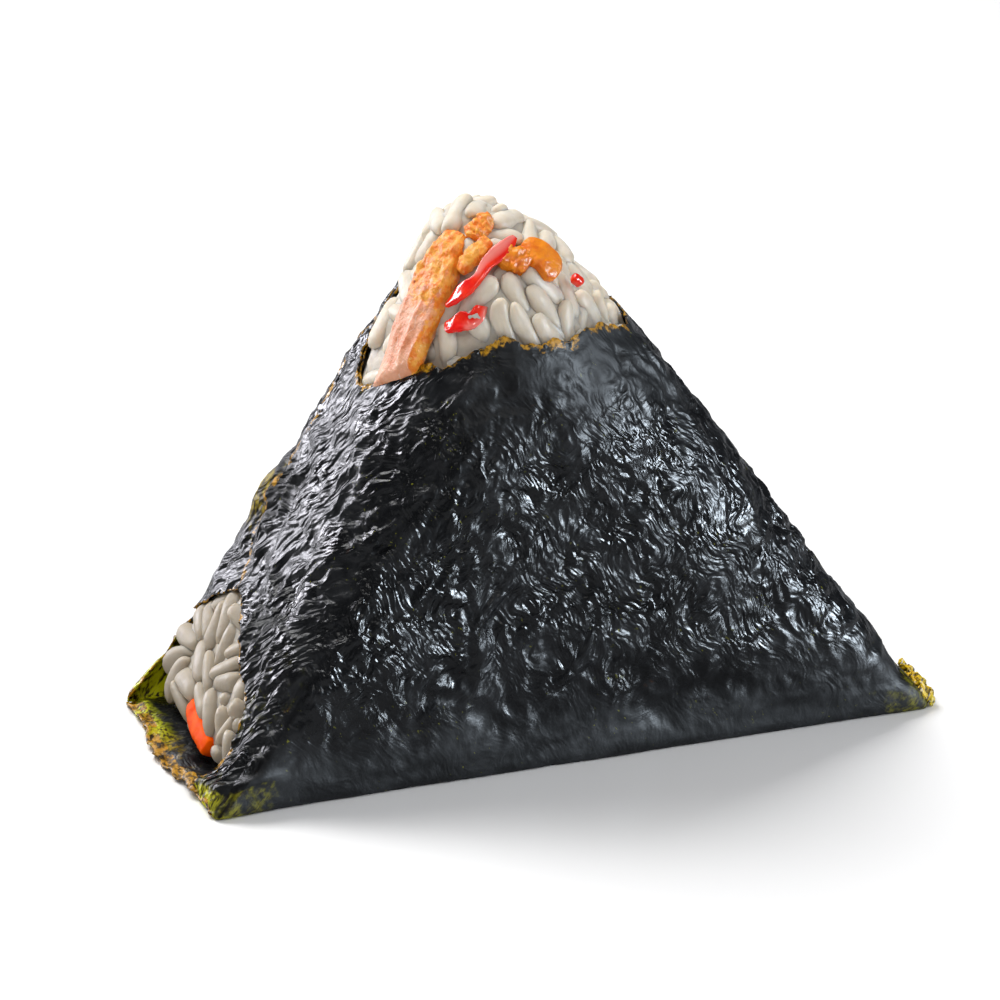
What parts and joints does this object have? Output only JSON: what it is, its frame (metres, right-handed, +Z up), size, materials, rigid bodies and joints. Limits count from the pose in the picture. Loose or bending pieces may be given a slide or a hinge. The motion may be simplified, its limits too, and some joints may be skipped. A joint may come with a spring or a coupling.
{
  "type": "onigiri rice ball",
  "caption": "Triangular rice ball in a crumpled nori wrap, open at the peak and one lower corner, with salmon, pepper and carrot showing.",
  "frame": {"origin": "middle of the bounding box at the flat base, on the surface it stands on", "axes": "+Z up; +X along the base's long side, towards the frayed corner; -Y out of the broad face that is wrapped smooth, with the rice gap at -X"},
  "size_m": [0.0914, 0.0358, 0.0651],
  "materials": {
    "nori": "thin glossy crumpled seaweed sheet, near black, olive where light passes through it",
    "rice": "moist cooked rice, soft gloss",
    "salmon": "grilled salmon, moist and fibrous",
    "red_pepper": "glossy pickled red pepper skin",
    "orange_pepper": "soft translucent orange flesh",
    "carrot": "cooked carrot, satin"
  },
  "bodies": {
    "root": {"nori_wrap": "nori", "rice_ball": "rice", "salmon_slice": "salmon", "salmon_lobe": "salmon", "salmon_flake": "salmon", "red_pepper_strip": "red_pepper", "red_pepper_fold": "red_pepper", "red_pepper_chip": "red_pepper", "orange_piece_rough": "orange_pepper", "orange_piece_smooth": "orange_pepper", "carrot_stick": "carrot"}
  },
  "joints": []
}
